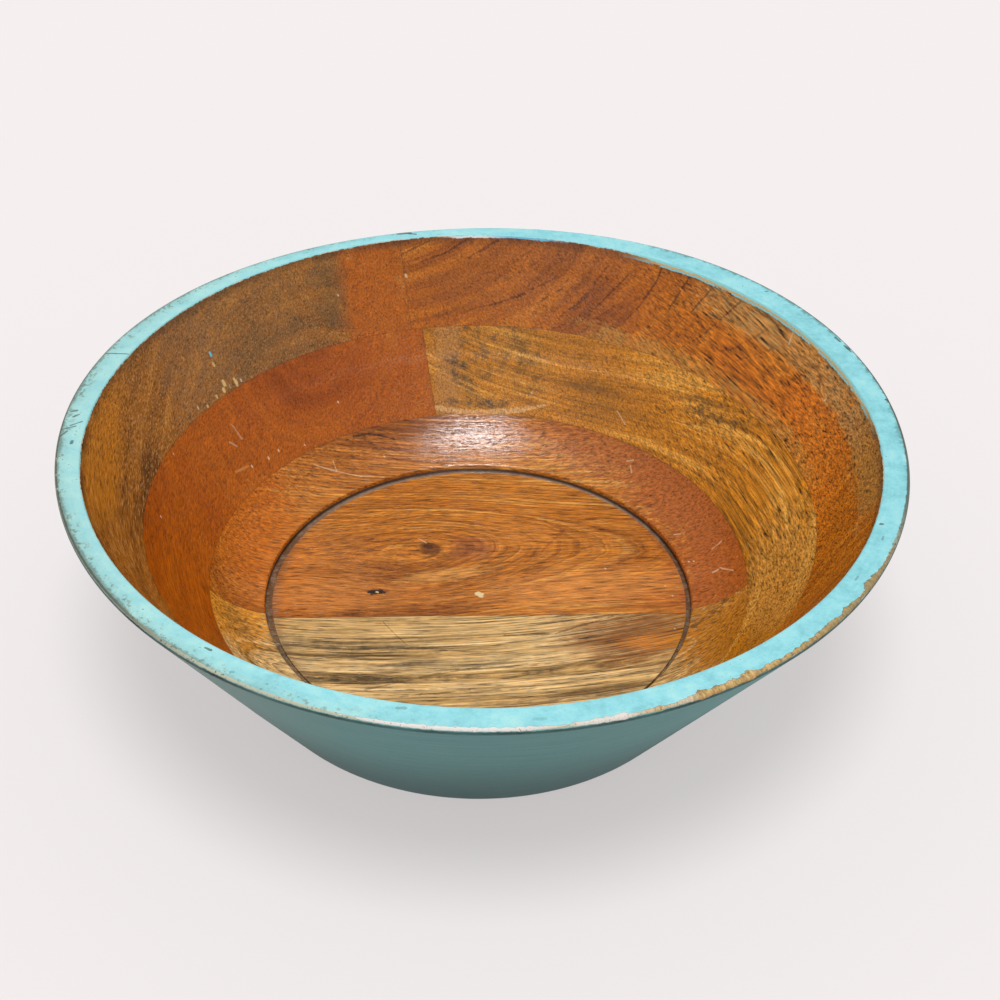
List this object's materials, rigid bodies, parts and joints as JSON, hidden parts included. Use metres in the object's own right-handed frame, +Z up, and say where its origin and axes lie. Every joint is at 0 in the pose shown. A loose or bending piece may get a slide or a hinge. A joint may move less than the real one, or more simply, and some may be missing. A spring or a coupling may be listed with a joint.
{
  "type": "dough bowl",
  "caption": "Wide flaring wooden bowl turned from glued planks, with a painted outside and rim, a coved bare-wood inside and a sunk grooved floor, for kneading or serving.",
  "frame": {"origin": "centre of the base, on the surface that the bowl stands on", "axes": "+Z up along the axis that the bowl was turned on, +Y towards the back of the pictured view, +X to its right"},
  "size_m": [0.4049, 0.405, 0.127],
  "materials": {
    "rim_left_wood": "satin clear finish, olive brown",
    "rim_right_wood": "satin clear finish, red brown",
    "middle_left_wood": "satin clear finish, red orange",
    "middle_right_wood": "satin clear finish, golden brown",
    "bottom_back_wood": "satin clear finish, red brown",
    "bottom_front_wood": "satin clear finish, yellow tan",
    "turquoise_paint": "worn matte paint"
  },
  "bodies": {
    "root": {"rim_left_plank": "rim_left_wood", "rim_right_plank": "rim_right_wood", "middle_left_plank": "middle_left_wood", "middle_right_plank": "middle_right_wood", "bottom_back_plank": "bottom_back_wood", "bottom_front_plank": "bottom_front_wood", "paint_coat": "turquoise_paint"}
  },
  "joints": []
}
